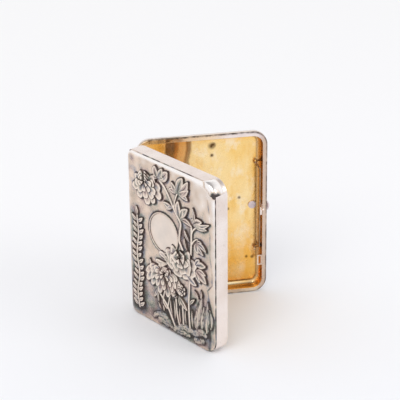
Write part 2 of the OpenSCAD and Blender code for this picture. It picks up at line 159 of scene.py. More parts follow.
def bowed(root, tip, bow, middle=0.5):
    """Three points from root to tip, the middle one pushed to the left by a share of the length"""
    root = np.array(root, float)
    tip = np.array(tip, float)
    ray = tip - root
    return [root, root + ray * middle + np.array([-ray[1], ray[0]]) * bow, tip]


def mirrored(row):
    """Row of numbers across both sides, given from the middle outwards"""
    return np.concatenate([row[:0:-1], row])


# Raised work

BLADE_ROWS = 19
CRAG_ROWS = 20
CRAG_WIDEST = 0.4

# The dark border of a blade, in widths of its outline
BLADE_BORDER = 2.1

# Tarnish and painted light of a blade: oxide in its vein, oxide with painted fold shade in its pleats,
# painted shade where others cover it, tarnish all over, and how bright its crest is, polished with a
# painted highlight
VEIN_DARK = 3.8
PLEAT_DARK_AND_SHADE = 0.75
COVERED_SHADE = 0.46
BLADE_DARK = 0.06
CREST_POLISH_AND_HIGHLIGHT = 0.45

# Points from a blade's vein to its edge: shares of its body, then one on the rim and one on the outline
BLADE_BODY = (0, 0.15, 0.35, 0.52, 0.7, 1)
BLADE_FOLD = np.array([0, 0, 0.4, 1, 0.4, 0, 0, 0])
BLADE_OUTLINE = np.array([0, 0, 0, 0, 0, 0, 0.95, 1])


def blade_rows(points):
    """Rows of a blade, closer near its tip: places, shares of its length, and distances from the tip"""
    last = 10 * BLADE_ROWS - 1
    fine = smooth_path(points, last + 1)
    length = np.linalg.norm(np.diff(fine, axis=0), axis=1).sum()
    picks = np.rint(np.sin(np.linspace(0, np.pi / 2, BLADE_ROWS)) ** 0.9 * last).astype(int)
    t = picks[:, None] / last
    return fine[picks], t, length * (1 - t)


def blade_half(t, width, widest, blunt):
    """Half width along a blade, which keeps a narrow root"""
    swell = np.sin(np.pi * t ** (math.log(0.5) / math.log(widest)))
    half = width / 2 * np.maximum(swell, 0) ** blunt
    return np.maximum(half, 0.12 * (1 - t) * width / 2 + 0.03)


class Relief:
    """Raised work on the lid, gathered patch by patch into one mesh

    Every ribbon has a skirt of the width of bevel, which goes down to foot, below the face sheet.
    """

    foot = -0.25
    bevel = 0.3

    def __init__(self):
        self.places = []
        self.tarnish_and_shading = []
        self.faces = []
        self.prints = []

    def patch(self, place, height, tarnish_and_shading):
        """Adds a grid of points; place is rows x columns x 2"""
        first = sum(len(p) for p in self.places)
        rows, cols = height.shape
        self.places.append(on_lid(place[..., 0], place[..., 1], height).reshape(-1, 3))
        self.tarnish_and_shading.append(np.clip(tarnish_and_shading, -1, 1).reshape(-1))
        self.prints.append(place.reshape(-1, 2))
        for i in range(rows - 1):
            for j in range(cols - 1):
                near = first + i * cols + j
                far = near + cols
                self.faces.append([near, near + 1, far + 1, far])

    def ribbon(self, path, half, across, profile, tarnish_and_shading):
        """Patch along a path; across holds each row's places from -1 to 1 of its half width"""
        skirt = (half + self.bevel)[:, None]
        foot = np.full_like(skirt, self.foot)
        dark = np.ones_like(skirt)
        place = beside(path, np.hstack([-skirt, half[:, None] * across, skirt]))
        self.patch(place, np.hstack([foot, profile, foot]), np.hstack([dark, tarnish_and_shading, dark]))

    def blade(self, points, width, root_h, tip_h, widest=0.45, blunt=0.8, dome=0.18, vein=0.16, lift=0.0,
              root_shade=0.6, pleat=0.0, line=0.34, covered=0.0):
        """Leaf or petal from its root to its tip: dark outline, bright rim, middle vein and two pleats

        widest and covered are shares of its length; the part that other petals cover gets painted shade,
        and so does the root. line is the outline's width.
        """
        path, t, from_tip = blade_rows(points)
        half = blade_half(t, width, widest, blunt)
        body = 1 - np.minimum(BLADE_BORDER * line / half, 0.5)
        rim = 1 - np.minimum(line / half, 0.25)
        reach = np.hstack([share * body for share in BLADE_BODY] + [rim, np.ones_like(rim)])
        across = np.hstack([-reach[:, :0:-1], reach])
        spread = np.abs(across)
        groove = bell(across, 0.13) * np.sin(np.pi * t ** 0.8)
        fold = mirrored(BLADE_FOLD)[None, :] * np.clip((t - 0.15) * 5, 0, 1)

        along = root_h + (tip_h - root_h) * np.sin(np.pi / 2 * np.clip(t * 1.5, 0, 1)) + lift * t ** 3
        size = np.minimum(1, half / (0.28 * width))
        crown = 1 - spread ** 2.5
        profile = along - 0.16 + (dome * crown - vein * groove - 0.5 * pleat * vein * fold) * size
        profile[:, [0, -1]] -= 0.12

        outline = mirrored(BLADE_OUTLINE)[None, :]
        tip = np.clip((BLADE_BORDER * line - from_tip) / (1.1 * line), 0, 1)
        dark = np.maximum(outline, tip)
        crest = np.maximum(bell(spread - 0.8 * body, 0.18), bell(from_tip - 1.2, 0.5))
        crest = crest * np.clip(t * 2, 0, 1) * (1 - dark)
        # Oxide in the outline and vein, oxide with painted fold shade in the pleats, painted shade towards
        # the root
        tarnish_and_shading = dark + VEIN_DARK * vein * groove + PLEAT_DARK_AND_SHADE * pleat * fold + root_shade * (1 - t) ** 3
        # Tarnish all over, and polish with a painted highlight on the crest
        tarnish_and_shading += BLADE_DARK * (1 - np.maximum(outline, crest)) - CREST_POLISH_AND_HIGHLIGHT * crest
        # Painted shade where other petals cover this one
        if covered:
            tarnish_and_shading += COVERED_SHADE * np.clip((covered - t) / 0.24 + 0.5, 0, 1)
        self.ribbon(path, half[:, 0], across, profile, tarnish_and_shading)

    def stem(self, points, width, height, rows=22):
        """Half-round stalk of uneven thickness"""
        path = smooth_path(points, rows)
        t = np.linspace(0, 1, rows)
        wobble = roughly(path, 2.2)
        angle = np.linspace(0, math.pi, 7)
        bulge = np.sin(angle)[None, :]
        ends = np.minimum(1, np.minimum(t, 1 - t) * rows / 1.5)[:, None]
        profile = height * (0.25 + 0.75 * bulge) * (0.6 + 0.4 * ends) * (1 + 0.1 * wobble[:, None])
        tarnish_and_shading = np.broadcast_to(0.9 * (1 - bulge) - 0.35 * bulge, profile.shape)
        self.ribbon(path, width / 2 * (1 + 0.12 * wobble), -np.cos(angle), profile, tarnish_and_shading)

    def crag(self, points, width, height, seed, lean=0.0):
        """Rock with one sharp crest and flanks chiselled along its height"""
        path = smooth_path(points, CRAG_ROWS)
        t = np.linspace(0, 1, CRAG_ROWS)
        across = np.linspace(-1, 1, 17)
        swell = np.sin(np.pi * t ** (math.log(0.5) / math.log(CRAG_WIDEST)))
        half = width / 2 * np.maximum(swell, 0.22 - 0.2 * t) ** 0.8
        place = beside(path, half[:, None] * across)
        cuts = roughly(place * (1, 0.22), 1.5, seed)
        chips = roughly(place, 2.6, seed + 5)
        ridge = 1 - np.abs(across - lean)[None, :] / (1 + abs(lean))
        profile = height * (0.3 + 0.7 * ridge) * (1 + 0.3 * chips) + 0.2 * cuts
        tarnish_and_shading = 0.9 * np.abs(across)[None, :] ** 6 + 0.7 * bell(cuts, 0.1)
        tarnish_and_shading += 0.3 * np.clip(-chips * 2, 0, 1) + 0.16 - 0.7 * ridge ** 6
        self.ribbon(path, half, across, profile, tarnish_and_shading)

    def lump(self, points, width, height, seed, rows=26, grain=1.6):
        """Rounded rocky bank with hollows of about the size of grain"""
        path = smooth_path(points, rows)
        t = np.linspace(0, 1, rows)
        across = np.linspace(-1, 1, 11)
        ends = np.sqrt(np.clip(np.minimum(t, 1 - t) * 6, 0, 1))
        half = width / 2 * (0.35 + 0.65 * ends)
        place = beside(path, half[:, None] * across)
        chips = roughly(place, grain, seed)
        strata = roughly(place * (0.3, 1.5), 1.5, seed + 7)
        fine = roughly(place, grain / 2.5, seed + 3)
        dome = np.sqrt(np.clip(1 - across ** 2, 0, 1))[None, :]
        profile = height * (0.25 + 0.75 * dome * ends[:, None]) + 0.35 * height * chips + 0.12 * fine
        tarnish_and_shading = 0.7 * (1 - dome) + 0.6 * bell(strata, 0.1)
        tarnish_and_shading += 0.6 * np.clip(-chips * 2, 0, 1) + 0.2 * np.clip(-fine, 0, 1) - 0.1
        self.ribbon(path, half, across, profile, tarnish_and_shading)

    def make(self, name, material, slot, *nodes):
        """Turns the patches into one smooth object that stands for the part's own nodes"""
        piece = mesh_object(name, np.concatenate(self.places), self.faces, material)
        # The layer holds oxide and polish together with painted shade, shadow, reflections and highlights
        layer = piece.data.attributes.new("tarnish_and_shading", "FLOAT", "POINT")
        layer.data.foreach_set("value", np.concatenate(self.tarnish_and_shading).astype(np.float32))
        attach(piece, "lid")
        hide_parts(*nodes)
        return np.concatenate(self.prints)


def mesh_object(name, vertices, faces, material):
    """Smooth-shaded object in the scene"""
    mesh = bpy.data.meshes.new(name)
    mesh.from_pydata([tuple(v) for v in vertices], [], faces)
    mesh.validate()
    mesh.polygons.foreach_set("use_smooth", [True] * len(mesh.polygons))
    mesh.materials.append(material)
    mesh.update()
    piece = bpy.data.objects.new(name, mesh)
    bpy.context.scene.collection.objects.link(piece)
    return piece


# Materials

def srgb(*levels):
    """Colour written as 0 to 255, turned to linear"""
    shares = [level / 255 for level in levels]
    linear = [c / 12.92 if c <= 0.04045 else ((c + 0.055) / 1.055) ** 2.4 for c in shares]
    return (*linear, 1)


# The base's lip
LIP_BROWN = srgb(206, 178, 158)
LIP_GILT_REFLECTION = srgb(255, 210, 150)
LIP_LILAC = srgb(244, 230, 234)
LIP_GRIME_AND_DARK_REFLECTION = srgb(104, 88, 80)
LIP_CORNER = srgb(112, 88, 66)
LIP_DARK_EDGE_W = 1.3

# Thin tarnish on the chased silver
COOL_SILVER = srgb(196, 190, 182)
FILM_ROSE = srgb(174, 151, 150)
FILM_GREEN = srgb(132, 146, 138)
FILM_BLUE = srgb(140, 148, 165)

# Gilding
GILT_LIGHT = srgb(255, 232, 180)
GILT_WARM = srgb(252, 212, 130)
GILT_DEEP = srgb(240, 184, 78)
GILT_PALE = srgb(255, 242, 212)
GILT_ORANGE = srgb(252, 188, 80)
GILT_WALL = srgb(206, 172, 134)
GILT_GLINT = srgb(255, 248, 214)
GILT_SPECKS = srgb(120, 78, 44)
GILT_CREASE = srgb(110, 72, 38)
GILT_STAIN = srgb(78, 48, 22)

# Painted reflections of the lid's edge, as brown streaks high up in the base's gilding: left, right in
# millimetres, colour, depth
GILT_STREAK_REFLECTIONS = (
    (-22, -16.3, srgb(108, 66, 32), 0.84),
    (-16.3, -9.5, srgb(226, 150, 70), 0.6),
    (-9.5, -7, srgb(124, 76, 38), 0.75),
)
STREAK_SOFT = 1.4
STREAK_WANDER = 12

# Dark stains on the floor of the base's tray: x, z and radius in millimetres
GILT_STAINS = (
    (7.5, 104.5, 1.84), (8.6, 105.2, 1.265), (7.5, 98, 1.035), (25.5, 66.5, 0.92), (18, 59, 0.805),
    (34.5, 22.5, 1.035), (30.5, 23, 0.805),
)
STAIN_SOFT = 0.7


class Shader:
    """One metal material, built node by node"""

    def __init__(self, name, metallic=1.0):
        self.material = bpy.data.materials.new(name)
        self.material.use_nodes = True
        self.tree = self.material.node_tree
        self.tree.nodes.clear()
        self.link = self.tree.links.new
        self.bsdf = self.node("ShaderNodeBsdfPrincipled")
        self.bsdf.inputs["Metallic"].default_value = metallic
        output = self.node("ShaderNodeOutputMaterial")
        self.link(self.bsdf.outputs["BSDF"], output.inputs["Surface"])
        self.place = self.node("ShaderNodeTexCoord").outputs["Object"]

    def node(self, kind):
        return self.tree.nodes.new(kind)

    def give(self, socket, value):
        """Links a socket to another one, or sets it to a constant"""
        if isinstance(value, bpy.types.NodeSocket):
            self.link(value, socket)
        else:
            socket.default_value = value

    def noise(self, size_mm, detail, stretch=(1, 1, 1), roughness=0.5):
        """Noise with features of about size_mm, longer where stretch is above 1"""
        mapping = self.node("ShaderNodeMapping")
        mapping.inputs["Scale"].default_value = tuple(1 / s for s in stretch)
        self.link(self.place, mapping.inputs["Vector"])
        texture = self.node("ShaderNodeTexNoise")
        self.link(mapping.outputs["Vector"], texture.inputs["Vector"])
        texture.inputs["Scale"].default_value = 1 / (size_mm * MM)
        texture.inputs["Detail"].default_value = detail
        texture.inputs["Roughness"].default_value = roughness
        return texture.outputs["Fac"]

    def spread(self, value, low, high, to_low=0.0, to_high=1.0):
        """Maps low..high to to_low..to_high, held at the ends"""
        ranger = self.node("ShaderNodeMapRange")
        self.give(ranger.inputs["Value"], value)
        ranger.inputs["From Min"].default_value = low
        ranger.inputs["From Max"].default_value = high
        ranger.inputs["To Min"].default_value = to_low
        ranger.inputs["To Max"].default_value = to_high
        return ranger.outputs["Result"]

    def axis(self, name):
        """X, Y or Z of a place, in metres"""
        splitter = self.node("ShaderNodeSeparateXYZ")
        self.link(self.place, splitter.inputs["Vector"])
        return splitter.outputs[name]

    def along(self, name, start_mm, end_mm, to_start=0.0, to_end=1.0):
        """Maps places along an axis, held at the ends"""
        return self.spread(self.axis(name), start_mm * MM, end_mm * MM, to_start, to_end)

    def maths(self, operation, a, b):
        worker = self.node("ShaderNodeMath")
        worker.operation = operation
        self.give(worker.inputs[0], a)
        self.give(worker.inputs[1], b)
        return worker.outputs[0]

    def plus(self, a, b):
        return self.maths("ADD", a, b)

    def times(self, first, *others):
        """Product of two or more values"""
        product = first
        for other in others:
            product = self.maths("MULTIPLY", product, other)
        return product

    def vector(self, operation, a, b=(0, 0, 0)):
        """Vector arithmetic; a length or a distance comes out as one number"""
        worker = self.node("ShaderNodeVectorMath")
        worker.operation = operation
        self.give(worker.inputs[0], a)
        self.give(worker.inputs[1], b)
        return worker.outputs["Value" if operation in ("LENGTH", "DISTANCE") else "Vector"]

    def mix(self, factor, a, b):
        """Colour a where the factor is 0, colour b where it is 1"""
        mixer = self.node("ShaderNodeMix")
        mixer.data_type = "RGBA"
        self.give(mixer.inputs["Factor"], factor)
        self.give(mixer.inputs[6], a)
        self.give(mixer.inputs[7], b)
        return mixer.outputs[2]

    def attribute(self, name):
        reader = self.node("ShaderNodeAttribute")
        reader.attribute_name = name
        return reader.outputs["Fac"]

    def near(self, centre_mm, radius_mm, soft):
        """1 inside a ball round a place, fading to 0; soft is the fade's share of the radius, in and out"""
        gap = self.vector("DISTANCE", self.place, tuple(c * MM for c in centre_mm))
        edge = radius_mm * MM
        return self.spread(gap, edge * (1 - soft), edge * (1 + soft), 1, 0)

    def outline_gap(self):
        """Distance in millimetres outside the base half's rounded outline; negative inside it"""
        middle = (0, 0, CASE_H / 2 * MM)
        straight = ((CASE_W / 2 - CORNER_R) * MM, 1, (CASE_H / 2 - CORNER_R) * MM)
        folded = self.vector("ABSOLUTE", self.vector("SUBTRACT", self.place, middle))
        beyond = self.vector("MAXIMUM", self.vector("SUBTRACT", folded, straight), (0, 0, 0))
        reach = self.vector("LENGTH", beyond)
        return self.maths("SUBTRACT", self.maths("DIVIDE", reach, MM), CORNER_R)

    def bump(self, height, strength, depth_mm):
        """Unevenness too fine for the mesh"""
        bumper = self.node("ShaderNodeBump")
        bumper.inputs["Strength"].default_value = strength
        bumper.inputs["Distance"].default_value = depth_mm * MM
        self.link(height, bumper.inputs["Height"])
        self.link(bumper.outputs["Normal"], self.bsdf.inputs["Normal"])

    def finish(self, colour, roughness):
        self.give(self.bsdf.inputs["Base Color"], colour)
        self.give(self.bsdf.inputs["Roughness"], roughness)
        return self.material


def worn_silver(name, bright, shade, dirt, rough, dirt_amount, lip=False):
    """Handled silver: soft colour drift, fine scratches, small dark specks and shallow dents

    Colours are given as 0 to 255; rough is the lowest and highest roughness.
    """
    s = Shader(name)
    drift = s.spread(s.noise(14, 3), 0.35, 0.68)
    colour = s.mix(drift, srgb(*bright), srgb(*shade))
    specks = s.spread(s.noise(2.2, 5, roughness=0.65), 0.68 - dirt_amount * 0.1, 0.76)
    colour = s.mix(s.times(specks, dirt_amount), colour, srgb(*dirt))
    if lip:
        colour = lip_wear(s, colour)
    scratches = s.noise(0.35, 2, (1, 1, 14))
    scuffs = s.plus(s.noise(5, 4), s.times(scratches, 0.3))
    s.bump(s.plus(s.noise(9, 2), s.times(scratches, 0.04)), 0.5, 0.05)
    return s.finish(colour, s.spread(scuffs, 0.4, 0.85, *rough))


def lip_wear(s, colour):
    """The base's lip: brown at the opening side, painted gilt reflection at the top left, grime and painted
    dark reflection at its outer edge
    """
    colour = s.mix(s.along("X", 36, 38.5, 0, 0.7), colour, LIP_BROWN)
    front = s.along("Y", -0.2, -0.6)
    # Painted reflection on the top of the lip: the gilding's gold towards the hinge, lilac farther out
    top_reflection = s.mix(s.along("X", 4, 18), LIP_GILT_REFLECTION, LIP_LILAC)
    colour = s.mix(s.times(front, s.along("Z", 109, 112.5, 0, 0.5)), colour, top_reflection)
    # Grime with a painted dark reflection along the rounded outer edge
    patchy = s.spread(s.noise(4.5, 4, roughness=0.65), 0.36, 0.6, 0.2, 1)
    edge = s.spread(s.outline_gap(), -LIP_DARK_EDGE_W, -0.5)
    colour = s.mix(s.times(edge, front, patchy), colour, LIP_GRIME_AND_DARK_REFLECTION)
    corner = s.times(s.along("Z", 111.5, 112.5), s.along("X", -10, -20))
    return s.mix(s.times(corner, patchy, 0.9), colour, LIP_CORNER)


def chased_silver(name, bright, shade, oxide_and_shade, polish_and_highlight):
    """Matt chased silver, dark where the tarnish and shading layer is above 0 and polished where it is
    below

    Colours are given as 0 to 255. Its dark is oxide and painted shade; its polish carries painted
    highlights.
    """
    s = Shader(name)
    drift = s.spread(s.noise(11, 3), 0.35, 0.66)
    colour = s.mix(drift, srgb(*bright), srgb(*shade))
    colour = s.mix(s.spread(s.noise(19, 2), 0.52, 0.7, 0, 0.3), colour, COOL_SILVER)
    layer = s.attribute("tarnish_and_shading")
    shine = s.spread(layer, 0, -0.7)
    colour = s.mix(shine, colour, srgb(*polish_and_highlight))
    grain = s.noise(0.9, 4, roughness=0.6)
    uneven = s.plus(layer, s.spread(grain, 0.3, 0.7, -0.16, 0.2))
    tint = s.mix(s.spread(s.noise(9, 3), 0.42, 0.58), FILM_ROSE, FILM_GREEN)
    tint = s.mix(s.spread(s.noise(6, 3), 0.5, 0.62), tint, FILM_BLUE)
    colour = s.mix(s.spread(uneven, 0.04, 0.5, 0, 0.85), colour, tint)
    # The oxide colour, which also stands for painted shade and shadow
    dark = s.spread(uneven, 0.35, 1.0, 0, 0.95)
    colour = s.mix(dark, colour, srgb(*oxide_and_shade))
    s.bump(s.plus(grain, s.noise(0.3, 2)), 0.35, 0.05)
    dullness = s.maths("SUBTRACT", s.plus(dark, s.times(grain, 0.4)), shine)
    return s.finish(colour, s.spread(dullness, -0.6, 1.0, 0.18, 0.56))


def worn_gilt(name, base=False):
    """Gilding from pale to orange with small brown specks; in the base heavier wear, a painted glint and
    painted reflections
    """
    s = Shader(name)
    drift = s.spread(s.noise(26, 3, (1.4, 1, 1.8)), 0.36, 0.66)
    colour = s.mix(drift, GILT_LIGHT, GILT_WARM)
    deep = s.spread(s.noise(12, 4, (0.8, 1, 2.2), 0.6), 0.5, 0.72, 0, 0.75)
    colour = s.mix(deep, colour, GILT_DEEP)
    pale = s.spread(s.noise(8, 4, (1, 1, 1.6), 0.6), 0.52, 0.66, 0, 0.8)
    colour = s.mix(pale, colour, GILT_PALE)
    specks = s.spread(s.noise(1.7, 3, roughness=0.6), 0.72, 0.79, 0, 0.6)
    colour = s.mix(specks, colour, GILT_SPECKS)
    if base:
        fray = s.noise(1.3, 3)
        colour = tray_edges(s, colour, fray)
        colour = tray_streak_reflections(s, colour)
        colour = tray_stains(s, colour, fray)
    s.bump(s.plus(s.noise(7, 2), s.times(s.noise(0.5, 2, (1, 1, 9)), 0.05)), 0.4, 0.06)
    return s.finish(colour, s.spread(s.noise(6, 4), 0.3, 0.7, 0.18, 0.34))


def tray_edges(s, colour, fray):
    """The base's tray near its border: orange floor, duller walls, a glint at the foot, a dark crease"""
    gap = s.outline_gap()
    orange = s.maths("MAXIMUM", s.spread(gap, -11, -6.2, 0, 0.6), s.along("Z", 62, 22, 0, 0.8))
    orange = s.times(orange, s.spread(s.noise(9, 3), 0.3, 0.6, 0.5, 1))
    colour = s.mix(orange, colour, GILT_ORANGE)
    dull = s.maths("MAXIMUM", s.along("Z", 12, 20, 0.2, 0.75), s.along("X", 26, 33, 0, 0.7))
    colour = s.mix(s.times(s.spread(gap, -6.2, -4.6), dull), colour, GILT_WALL)
    glint = s.times(s.spread(gap, -4.9, -4.5), s.spread(gap, -3.7, -3.4, 1, 0),
                    s.along("Z", 22, 14), s.along("X", 14, 30, 1, 0.15))
    colour = s.mix(glint, colour, GILT_GLINT)
    crease = s.times(s.spread(gap, -6.4, -5.8), s.spread(gap, -5.3, -4.8, 1, 0),
                     s.spread(fray, 0.3, 0.6, 0.6, 0.98), s.along("X", 31, 37, 1, 0.5))
    return s.mix(crease, colour, GILT_CREASE)


def tray_streak_reflections(s, colour):
    """Painted reflections of the lid's edge: brown streaks that run down from the top of the base's tray"""
    wander = s.maths("SUBTRACT", s.noise(14, 3, (1, 1, 2)), 0.5)
    across = s.plus(s.axis("X"), s.times(wander, STREAK_WANDER * MM))
    high = s.along("Z", 50, 104)
    for left, right, tint, depth in GILT_STREAK_REFLECTIONS:
        past_left = s.spread(across, (left - STREAK_SOFT) * MM, left * MM)
        before_right = s.spread(across, right * MM, (right + STREAK_SOFT) * MM, 1, 0)
        colour = s.mix(s.times(past_left, before_right, high, depth), colour, tint)
    return colour


def tray_stains(s, colour, fray):
    """Dark stains with ragged edges"""
    ragged = s.spread(fray, 0.3, 0.6, 0.6, 1)
    for x, z, radius in GILT_STAINS:
        stain = s.near((x, TRAY_FLOOR_Y, z), radius, STAIN_SOFT)
        colour = s.mix(s.times(stain, ragged), colour, GILT_STAIN)
    return colour


# The lid's face

# Steps from the sheet's edge to where they become even: seam, shoulder, then the flat
EDGE_STEPS = np.array([0, 0.05, 0.47, 0.53, 0.7, 0.9, 1.15, 1.5, 1.95, 2.5])
EVEN_FROM = 3
EVEN_STEP = 0.55

# Where the sunk ground ends on the opening side: height v, then u
GROUND_BORDER = [(0, 79.6), (12, 80.4), (18, 80.2), (25, 83.2), (35, 79.8), (43, 78.2), (48, 82.4),
                 (58, 82.0), (66, 80.6), (84, 80.6), (94, 80.2), (104, 78.4), (110, 76)]


def inside_border(place):
    """Distance from the sunk ground's border on the opening side; positive on the ground"""
    heights, edges = zip(*GROUND_BORDER)
    return np.interp(place[..., 1], heights, edges) - place[..., 0]


def sunk_ground(place):
    """1 on the sunk ground, 0 on the plain strip beyond its border"""
    return 1 / (1 + np.exp(-inside_border(place) * 3.5))


def from_disc(place):
    """Distance from the middle of the cartouche"""
    return np.hypot(place[..., 0] - CARTOUCHE[0], place[..., 1] - CARTOUCHE[1])


def on_disc(place):
    """1 on the cartouche's plain disc, 0 outside it"""
    return 1 / (1 + np.exp((from_disc(place) - CARTOUCHE_R) * 4))


def top_edge(place):
    """1 along the top edge, fading downwards"""
    return bell(CASE_H - place[..., 1], 5)


def opening_corner(place):
    """1 at the top corner of the opening side, fading over most of the face"""
    return bell(CASE_W - place[..., 0], 34) * bell(CASE_H - place[..., 1], 30)


def painted_shade_spot(place):
    """Painted shade of a hollow below the swollen corner, from 0 to 1; the mesh has no hollow there"""
    return bell(place[..., 0] - SHADE_SPOT[0], SHADE_SPOT_R[0]) * bell(place[..., 1] - SHADE_SPOT[1], SHADE_SPOT_R[1])


def face_outline(place, inset):
    """Distance inside the face's rounded outline, which starts at the end of the rolled edge"""
    centre = np.array([(ROLL_END + CASE_W) / 2, CASE_H / 2])
    reach = np.array([(CASE_W - ROLL_END) / 2 - inset, CASE_H / 2 - inset])
    corner = CORNER_R - inset
    beyond = np.abs(place - centre) - (reach - corner)
    return corner - np.hypot(*np.maximum(beyond, 0).transpose(2, 0, 1)) - np.minimum(beyond.max(-1), 0)


def edge_to_edge(length):
    """Shares of a length from 0 to 1, closer together at both ends"""
    middle = np.linspace(EVEN_FROM, length - EVEN_FROM, int((length - 2 * EVEN_FROM) / EVEN_STEP))
    return np.concatenate([EDGE_STEPS, middle, length - EDGE_STEPS[::-1]]) / length


def face_grid():
    """Rows across the face, each as long as the rounded outline leaves room for"""
    height = CASE_H - 2 * SEAM_INSET
    width = CASE_W - ROLL_END - 2 * SEAM_INSET
    rows = SEAM_INSET + edge_to_edge(height) * height
    corner = CORNER_R - SEAM_INSET
    drop = np.maximum(corner - np.minimum(rows - SEAM_INSET, CASE_H - SEAM_INSET - rows), 0)
    cut = corner - np.sqrt(np.maximum(corner ** 2 - drop ** 2, 0))
    start = ROLL_END + SEAM_INSET + cut
    us = start[:, None] + edge_to_edge(width)[None, :] * (width - 2 * cut)[:, None]
    return np.stack([us, np.broadcast_to(rows[:, None], us.shape)], -1)


def gap_to_prints(place, prints):
    """Distance from each place to the nearest raised work, whose shade falls to the lower right"""
    tree = kdtree.KDTree(len(prints))
    for i, p in enumerate(prints):
        tree.insert((p[0], p[1], 0), i)
    tree.balance()
    shaded = (place + (-0.25, 0.25)).reshape(-1, 2)
    return np.array([tree.find((p[0], p[1], 0))[2] for p in shaded]).reshape(place.shape[:-1])


def face_height(place, inside):
    """Seam, rounded shoulder, sunk ground with soft waves, and the plain disc"""
    shoulder = SHOULDER_W + 1.2 * top_edge(place) + 4 * opening_corner(place)
    roll = np.clip(1 - (inside - SEAM_W) / shoulder, 0, 1)
    fall = SHOULDER_DROP * (1 - np.sqrt(1 - roll ** 2))
    disc = on_disc(place)
    waves = roughly(place, 7, 2) * 0.05 + roughly(place, 2.2, 4) * 0.025
    ground = 0.1 * sunk_ground(place) - waves * (1 - disc) - 0.04 * disc
    height = -fall - ground * rise(inside, 1.6, 3.6)
    return np.where(inside < SEAM_W, SEAM_FLOOR, height)


def ground_tarnish_and_shadow(place, gap, patches):
    """Oxide and painted shadow round the raised work; oxide where it crowds, towards the foot and the hinge
    """
    u, v = place[..., 0], place[..., 1]
    # Narrow dark band round the raised work: oxide, with painted shadow falling to its lower right
    oxide_and_shadow = bell(gap, 0.55 + 0.3 * patches)
    crowd = bell(gap, 3.2)
    between_stems = rise(v, 29, 21) * bell(u - 52, 17, 4)
    thicket = bell(u - 58, 7, 4) * bell(v - 70, 12, 4)
    foot = rise(v, 42, 16)
    hinge_side = bell(u - 12, 8, 4) * rise(v, 84, 72)
    top = rise(v, 90, 104)
    hinge_corner = top * rise(u, 26, 12)
    tarnish_and_shading = 0.7 * oxide_and_shadow + 0.26 * crowd + 0.8 * between_stems + 0.5 * thicket + 0.4 * foot
    tarnish_and_shading += 0.36 * hinge_side + 0.26 * patches - 0.06 - 0.14 * top + (0.3 + 0.3 * patches) * hinge_corner
    return tarnish_and_shading * (1 - 0.55 * rise(v, 5, 2))


def border_tarnish(place, patches):
    """Uneven dark line along the sunk ground's border, and cleaner silver beyond it"""
    v = place[..., 1]
    strength = 0.3 + 0.6 * rise(v, 74, 44) + 0.8 * patches
    width = 0.55 + 0.6 * rise(v, 45, 20)
    line = 0.7 * bell(inside_border(place) - 0.2, width) * (v < 104) * strength
    return line - 0.1 * (1 - sunk_ground(place))


def face_tarnish_and_shading(place, inside, gap):
    """Tarnish of the whole sheet: ground, disc, polished shoulder with a painted highlight, painted shade
    below the swollen corner, and dirty seam
    """
    u, v = place[..., 0], place[..., 1]
    patches = roughly(place, 5.5, 8)
    tarnish_and_shading = ground_tarnish_and_shadow(place, gap, patches) + border_tarnish(place, patches)
    disc = on_disc(place)
    tarnish_and_shading = tarnish_and_shading * (1 - disc) - 0.2 * disc
    tarnish_and_shading += 0.95 * bell(from_disc(place) - CARTOUCHE_R - 1.3, 0.6)
    # The polished shoulder also carries a painted highlight, widest along the top edge and towards the
    # opening corner
    polish_and_highlight = bell(inside - SEAM_W, 0.9 + 1.1 * top_edge(place) + 1.4 * opening_corner(place))
    polish_and_highlight *= np.clip(0.2 + top_edge(place) + 0.5 * opening_corner(place), 0, 1)
    polish_and_highlight *= 0.35 + 0.65 * rise(u, 0, 14)
    tarnish_and_shading = tarnish_and_shading * (1 - polish_and_highlight) - polish_and_highlight + 2.2 * painted_shade_spot(place)
    seam_dirt = 0.75 - 0.4 * rise(v, CASE_H - 2, CASE_H - 1) + 1.1 * roughly(place, 4, 11)
    return np.where(inside < SEAM_W + 0.08, seam_dirt, tarnish_and_shading)


